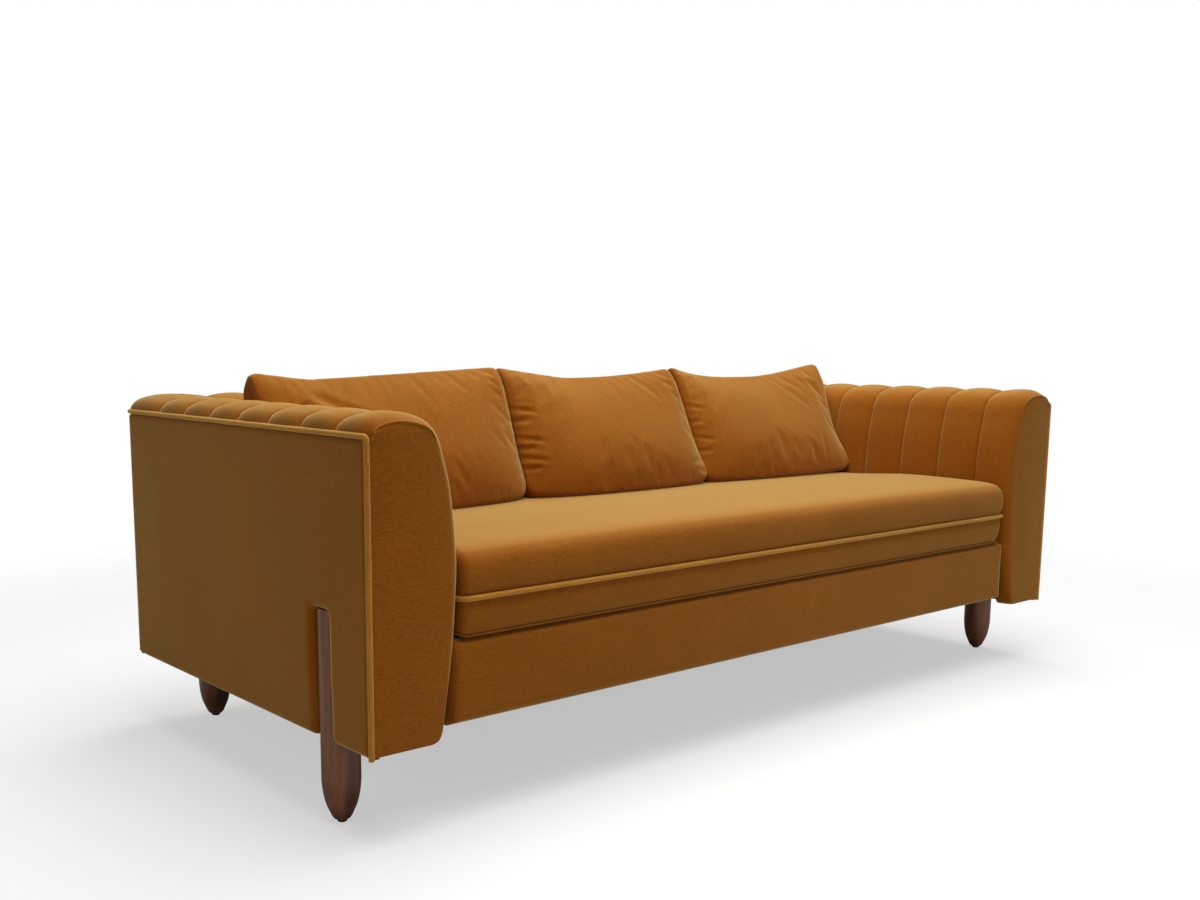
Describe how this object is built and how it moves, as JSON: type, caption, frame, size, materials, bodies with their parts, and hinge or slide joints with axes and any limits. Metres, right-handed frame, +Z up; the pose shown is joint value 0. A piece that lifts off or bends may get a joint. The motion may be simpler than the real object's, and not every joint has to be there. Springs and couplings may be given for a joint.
{
  "type": "three-seat sofa",
  "caption": "Low sofa in ochre velvet with vertically channelled arms and back, a bench seat cushion, loose back cushions and round walnut legs set into the arms.",
  "frame": {"origin": "on the floor under the middle of the sofa's outline", "axes": "+X along the sofa to the sitter's left as seen from the front (right in the picture), +Y from the front to the back, +Z up"},
  "size_m": [2.134, 0.965, 0.7725],
  "materials": {
    "velvet": "ochre mohair velvet with a soft sheen",
    "leg_wood": "dark oiled walnut",
    "frame_wood": "unfinished hardwood",
    "steel": "zinc-plated",
    "deck_cloth": "plain woven cloth",
    "dust_cloth": "black non-woven cloth",
    "filling": "ticking over foam and feather",
    "zip_tape": "woven tape",
    "zip_metal": "dull",
    "glide": "matte black"
  },
  "bodies": {
    "frame": {"arm_bolts": "steel", "arm_bottom_rails": "frame_wood", "arm_front_posts": "frame_wood", "arm_lining_boards": "frame_wood", "back_bottom_rail": "frame_wood", "back_channel_pad": "velvet", "back_lining_board": "frame_wood", "back_outer_panel": "velvet", "back_rail": "frame_wood", "back_top_rail": "frame_wood", "back_uprights": "frame_wood", "corner_blocks": "frame_wood", "deck_pad": "deck_cloth", "dust_sheet": "dust_cloth", "front_left_leg": "leg_wood", "front_leg_bolts": "steel", "front_rail": "frame_wood", "front_rail_pad": "velvet", "front_right_leg": "leg_wood", "left_arm_channel_pad": "velvet", "left_arm_facing": "velvet", "left_arm_rear_post": "frame_wood", "left_arm_top_rail": "frame_wood", "left_outer_arm_panel": "velvet", "leg_glides": "glide", "leg_posts": "frame_wood", "leg_slot_liners": "velvet", "outside_welt": "velvet", "rear_left_leg": "leg_wood", "rear_leg_bolts": "steel", "rear_leg_plates": "steel", "rear_right_leg": "leg_wood", "right_arm_channel_pad": "velvet", "right_arm_facing": "velvet", "right_arm_rear_post": "frame_wood", "right_arm_top_rail": "frame_wood", "right_outer_arm_panel": "velvet", "seat_springs": "steel", "seat_stretchers": "frame_wood", "side_rails": "frame_wood", "spring_clips": "steel"},
    "seat_cushion": {"seat_cushion_cover": "velvet", "seat_cushion_insert": "filling", "seat_cushion_welt": "velvet", "seat_cushion_zip": "zip_tape"},
    "seat_zip_slider": {"seat_cushion_zip_slider": "zip_metal"},
    "left_back_cushion": {"left_back_cushion_cover": "velvet", "left_back_cushion_insert": "filling", "left_back_cushion_zip": "zip_tape"},
    "left_zip_slider": {"left_back_cushion_zip_slider": "zip_metal"},
    "centre_back_cushion": {"centre_back_cushion_cover": "velvet", "centre_back_cushion_insert": "filling", "centre_back_cushion_zip": "zip_tape"},
    "centre_zip_slider": {"centre_back_cushion_zip_slider": "zip_metal"},
    "right_back_cushion": {"right_back_cushion_cover": "velvet", "right_back_cushion_insert": "filling", "right_back_cushion_zip": "zip_tape"},
    "right_zip_slider": {"right_back_cushion_zip_slider": "zip_metal"}
  },
  "joints": [
    {"name": "seat_lift", "type": "slide", "parent": "frame", "child": "seat_cushion", "axis": [0, 0, 1], "range_m": [0, 0.35]},
    {"name": "seat_zip", "type": "slide", "parent": "seat_cushion", "child": "seat_zip_slider", "axis": [1, 0, 0], "range_m": [0, 1.2]},
    {"name": "left_back_lift", "type": "slide", "parent": "seat_cushion", "child": "left_back_cushion", "axis": [0, 0, 1], "range_m": [0, 0.3]},
    {"name": "left_back_zip", "type": "slide", "parent": "left_back_cushion", "child": "left_zip_slider", "axis": [1, 0, 0], "range_m": [0, 0.33]},
    {"name": "centre_back_lift", "type": "slide", "parent": "seat_cushion", "child": "centre_back_cushion", "axis": [0, 0, 1], "range_m": [0, 0.3]},
    {"name": "centre_back_zip", "type": "slide", "parent": "centre_back_cushion", "child": "centre_zip_slider", "axis": [1, 0, 0], "range_m": [0, 0.33]},
    {"name": "right_back_lift", "type": "slide", "parent": "seat_cushion", "child": "right_back_cushion", "axis": [0, 0, 1], "range_m": [0, 0.3]},
    {"name": "right_back_zip", "type": "slide", "parent": "right_back_cushion", "child": "right_zip_slider", "axis": [1, 0, 0], "range_m": [0, 0.33]}
  ]
}
